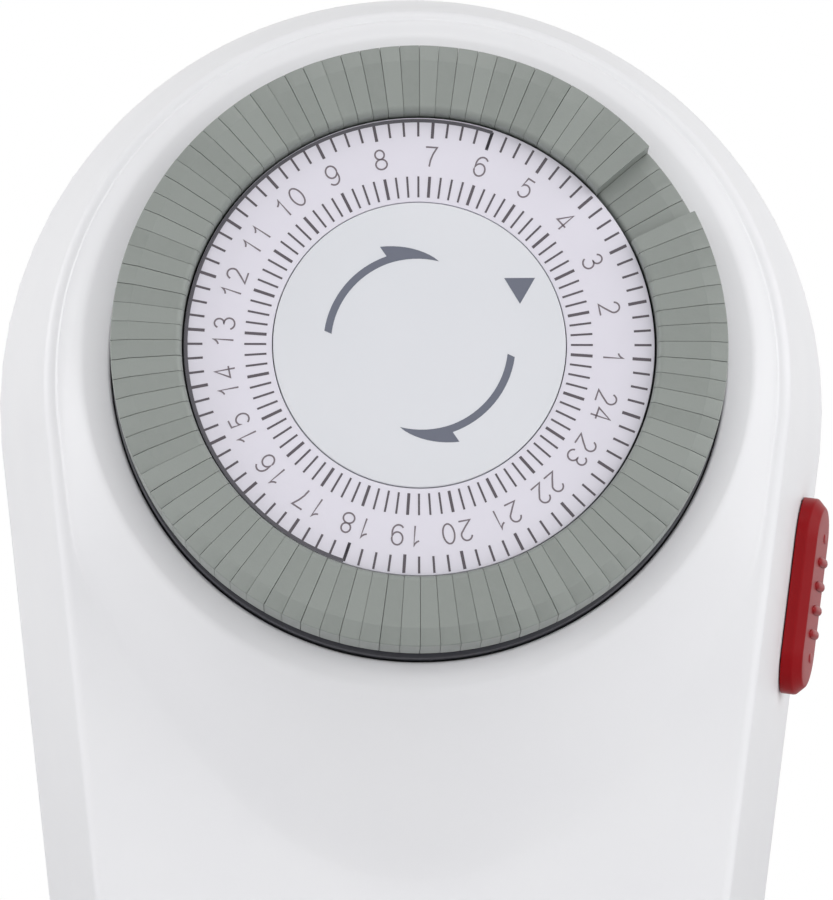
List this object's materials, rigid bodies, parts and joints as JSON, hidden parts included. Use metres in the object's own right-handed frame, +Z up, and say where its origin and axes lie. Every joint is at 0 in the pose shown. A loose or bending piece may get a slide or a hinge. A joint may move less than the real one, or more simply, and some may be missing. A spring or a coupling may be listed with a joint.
{
  "type": "plug in timer switch",
  "caption": "Plug-in mains timer: tapered white housing with a tilted 24-hour tappet dial above a socket, mains plug behind it, and a red override slider on the side.",
  "frame": {"origin": "middle of the plug end face, between the two pins", "axes": "+X right seen from the front, +Y toward the wall along the pins, +Z up"},
  "size_m": [0.0751, 0.0883, 0.1338],
  "materials": {
    "shell_white": "fine satin moulded white",
    "dial_white": "smooth printed white",
    "tappet_green": "satin moulded grey green",
    "drum_dark": "satin moulded near black",
    "slider_red": "satin moulded dark red",
    "inner_plastic": "plain moulded natural",
    "block_dark": "plain moulded dark",
    "steel": "bright zinc plated",
    "plated": "nickel plated",
    "contact_brass": "plain stamped brass",
    "coil_copper": "enamelled copper winding",
    "magnet": "plain sintered magnet"
  },
  "bodies": {
    "housing": {"front_shell": "shell_white", "rear_shell": "shell_white", "housing_screws": "steel", "chassis": "inner_plastic", "chassis_screws": "steel", "dial_post": "steel", "centre_disc": "dial_white", "friction_washer": "contact_brass", "wheel_axles": "steel", "motor_can": "steel", "motor_coil": "coil_copper", "coil_bobbin": "inner_plastic", "follower_spring": "steel", "arm_pivot": "steel", "switch_block": "block_dark", "pin_live": "plated", "pin_neutral": "plated", "contact_live": "contact_brass", "contact_neutral": "contact_brass", "live_feed": "contact_brass", "motor_leads": "block_dark", "earth_strap": "contact_brass", "shutter_spring": "steel"},
    "dial": {"dial_carrier": "drum_dark", "dial_label": "dial_white"},
    "tappet_1": {"tappet_1": "tappet_green"},
    "tappet_2": {"tappet_2": "tappet_green"},
    "tappet_3": {"tappet_3": "tappet_green"},
    "tappet_4": {"tappet_4": "tappet_green"},
    "tappets_hour_1": {"tappets_hour_1": "tappet_green"},
    "tappets_hour_2": {"tappets_hour_2": "tappet_green"},
    "tappets_hour_3": {"tappets_hour_3": "tappet_green"},
    "tappets_hour_5": {"tappets_hour_5": "tappet_green"},
    "tappets_hour_6": {"tappets_hour_6": "tappet_green"},
    "tappets_hour_7": {"tappets_hour_7": "tappet_green"},
    "tappets_hour_8": {"tappets_hour_8": "tappet_green"},
    "tappets_hour_9": {"tappets_hour_9": "tappet_green"},
    "tappets_hour_10": {"tappets_hour_10": "tappet_green"},
    "tappets_hour_11": {"tappets_hour_11": "tappet_green"},
    "tappets_hour_12": {"tappets_hour_12": "tappet_green"},
    "tappets_hour_13": {"tappets_hour_13": "tappet_green"},
    "tappets_hour_14": {"tappets_hour_14": "tappet_green"},
    "tappets_hour_15": {"tappets_hour_15": "tappet_green"},
    "tappets_hour_16": {"tappets_hour_16": "tappet_green"},
    "tappets_hour_17": {"tappets_hour_17": "tappet_green"},
    "tappets_hour_18": {"tappets_hour_18": "tappet_green"},
    "tappets_hour_19": {"tappets_hour_19": "tappet_green"},
    "tappets_hour_20": {"tappets_hour_20": "tappet_green"},
    "tappets_hour_21": {"tappets_hour_21": "tappet_green"},
    "tappets_hour_22": {"tappets_hour_22": "tappet_green"},
    "tappets_hour_23": {"tappets_hour_23": "tappet_green"},
    "tappets_hour_24": {"tappets_hour_24": "tappet_green"},
    "wheel_a": {"wheel_a": "inner_plastic"},
    "wheel_b": {"wheel_b": "inner_plastic"},
    "rotor": {"rotor": "magnet"},
    "follower": {"follower": "inner_plastic"},
    "contact_arm": {"contact_arm": "contact_brass"},
    "override_slider": {"override_slider": "slider_red"},
    "shutter": {"shutter": "inner_plastic"}
  },
  "joints": [
    {"name": "dial_turn", "type": "hinge", "parent": "housing", "child": "dial", "pos_m": [0, -0.0581, 0.069], "axis": [0, -0.9888, 0.1495], "continuous": true},
    {"name": "tappet_1_slide", "type": "slide", "parent": "dial", "child": "tappet_1", "axis": [0, -0.9888, 0.1495], "range_m": [0, 0.0021]},
    {"name": "tappet_2_slide", "type": "slide", "parent": "dial", "child": "tappet_2", "axis": [0, -0.9888, 0.1495], "range_m": [0, 0.0021]},
    {"name": "tappet_3_slide", "type": "slide", "parent": "dial", "child": "tappet_3", "axis": [0, -0.9888, 0.1495], "range_m": [0, 0.0021]},
    {"name": "tappet_4_slide", "type": "slide", "parent": "dial", "child": "tappet_4", "axis": [0, -0.9888, 0.1495], "range_m": [0, 0.0021]},
    {"name": "tappets_hour_1_slide", "type": "slide", "parent": "dial", "child": "tappets_hour_1", "axis": [0, -0.9888, 0.1495], "range_m": [-0.0021, 0]},
    {"name": "tappets_hour_2_slide", "type": "slide", "parent": "dial", "child": "tappets_hour_2", "axis": [0, -0.9888, 0.1495], "range_m": [-0.0021, 0]},
    {"name": "tappets_hour_3_slide", "type": "slide", "parent": "dial", "child": "tappets_hour_3", "axis": [0, -0.9888, 0.1495], "range_m": [-0.0021, 0]},
    {"name": "tappets_hour_5_slide", "type": "slide", "parent": "dial", "child": "tappets_hour_5", "axis": [0, -0.9888, 0.1495], "range_m": [-0.0021, 0]},
    {"name": "tappets_hour_6_slide", "type": "slide", "parent": "dial", "child": "tappets_hour_6", "axis": [0, -0.9888, 0.1495], "range_m": [-0.0021, 0]},
    {"name": "tappets_hour_7_slide", "type": "slide", "parent": "dial", "child": "tappets_hour_7", "axis": [0, -0.9888, 0.1495], "range_m": [-0.0021, 0]},
    {"name": "tappets_hour_8_slide", "type": "slide", "parent": "dial", "child": "tappets_hour_8", "axis": [0, -0.9888, 0.1495], "range_m": [-0.0021, 0]},
    {"name": "tappets_hour_9_slide", "type": "slide", "parent": "dial", "child": "tappets_hour_9", "axis": [0, -0.9888, 0.1495], "range_m": [-0.0021, 0]},
    {"name": "tappets_hour_10_slide", "type": "slide", "parent": "dial", "child": "tappets_hour_10", "axis": [0, -0.9888, 0.1495], "range_m": [-0.0021, 0]},
    {"name": "tappets_hour_11_slide", "type": "slide", "parent": "dial", "child": "tappets_hour_11", "axis": [0, -0.9888, 0.1495], "range_m": [-0.0021, 0]},
    {"name": "tappets_hour_12_slide", "type": "slide", "parent": "dial", "child": "tappets_hour_12", "axis": [0, -0.9888, 0.1495], "range_m": [-0.0021, 0]},
    {"name": "tappets_hour_13_slide", "type": "slide", "parent": "dial", "child": "tappets_hour_13", "axis": [0, -0.9888, 0.1495], "range_m": [-0.0021, 0]},
    {"name": "tappets_hour_14_slide", "type": "slide", "parent": "dial", "child": "tappets_hour_14", "axis": [0, -0.9888, 0.1495], "range_m": [-0.0021, 0]},
    {"name": "tappets_hour_15_slide", "type": "slide", "parent": "dial", "child": "tappets_hour_15", "axis": [0, -0.9888, 0.1495], "range_m": [-0.0021, 0]},
    {"name": "tappets_hour_16_slide", "type": "slide", "parent": "dial", "child": "tappets_hour_16", "axis": [0, -0.9888, 0.1495], "range_m": [-0.0021, 0]},
    {"name": "tappets_hour_17_slide", "type": "slide", "parent": "dial", "child": "tappets_hour_17", "axis": [0, -0.9888, 0.1495], "range_m": [-0.0021, 0]},
    {"name": "tappets_hour_18_slide", "type": "slide", "parent": "dial", "child": "tappets_hour_18", "axis": [0, -0.9888, 0.1495], "range_m": [-0.0021, 0]},
    {"name": "tappets_hour_19_slide", "type": "slide", "parent": "dial", "child": "tappets_hour_19", "axis": [0, -0.9888, 0.1495], "range_m": [-0.0021, 0]},
    {"name": "tappets_hour_20_slide", "type": "slide", "parent": "dial", "child": "tappets_hour_20", "axis": [0, -0.9888, 0.1495], "range_m": [-0.0021, 0]},
    {"name": "tappets_hour_21_slide", "type": "slide", "parent": "dial", "child": "tappets_hour_21", "axis": [0, -0.9888, 0.1495], "range_m": [-0.0021, 0]},
    {"name": "tappets_hour_22_slide", "type": "slide", "parent": "dial", "child": "tappets_hour_22", "axis": [0, -0.9888, 0.1495], "range_m": [-0.0021, 0]},
    {"name": "tappets_hour_23_slide", "type": "slide", "parent": "dial", "child": "tappets_hour_23", "axis": [0, -0.9888, 0.1495], "range_m": [-0.0021, 0]},
    {"name": "tappets_hour_24_slide", "type": "slide", "parent": "dial", "child": "tappets_hour_24", "axis": [0, -0.9888, 0.1495], "range_m": [-0.0021, 0]},
    {"name": "wheel_a_turn", "type": "hinge", "parent": "housing", "child": "wheel_a", "pos_m": [-0.01237, -0.0568, 0.07756], "axis": [0, -0.9888, 0.1495], "continuous": true},
    {"name": "wheel_b_turn", "type": "hinge", "parent": "housing", "child": "wheel_b", "pos_m": [-0.01342, -0.05861, 0.06565], "axis": [0, -0.9888, 0.1495], "continuous": true},
    {"name": "rotor_turn", "type": "hinge", "parent": "housing", "child": "rotor", "pos_m": [-0.00628, -0.05968, 0.05858], "axis": [0, -0.9888, 0.1495], "continuous": true},
    {"name": "follower_slide", "type": "slide", "parent": "housing", "child": "follower", "axis": [0, -0.9888, 0.1495], "range_m": [0, 0.0019], "deforming": ["follower_spring"]},
    {"name": "contact_arm_tilt", "type": "hinge", "parent": "housing", "child": "contact_arm", "pos_m": [0.01893, -0.04002, 0.05817], "axis": [1, 0, 0], "range_deg": [0, 5.44]},
    {"name": "override_slide", "type": "slide", "parent": "housing", "child": "override_slider", "axis": [-0.1194, 0, -0.9928], "range_m": [-0.004, 0]},
    {"name": "shutter_slide", "type": "slide", "parent": "housing", "child": "shutter", "axis": [0, 0, -1], "range_m": [0, 0.0064], "stiffness_N_per_m": 60, "springref_m": -0.002, "deforming": ["shutter_spring"]}
  ],
  "couplings": [
    {"joint": "wheel_a_turn", "follows": "dial_turn", "ratio": -4},
    {"joint": "wheel_b_turn", "follows": "dial_turn", "ratio": 12},
    {"joint": "rotor_turn", "follows": "dial_turn", "ratio": -36},
    {"joint": "follower_slide", "follows": "tappet_3_slide", "ratio": 0.90476},
    {"joint": "contact_arm_tilt", "follows": "tappet_3_slide", "rad_per_m": 45.153}
  ]
}
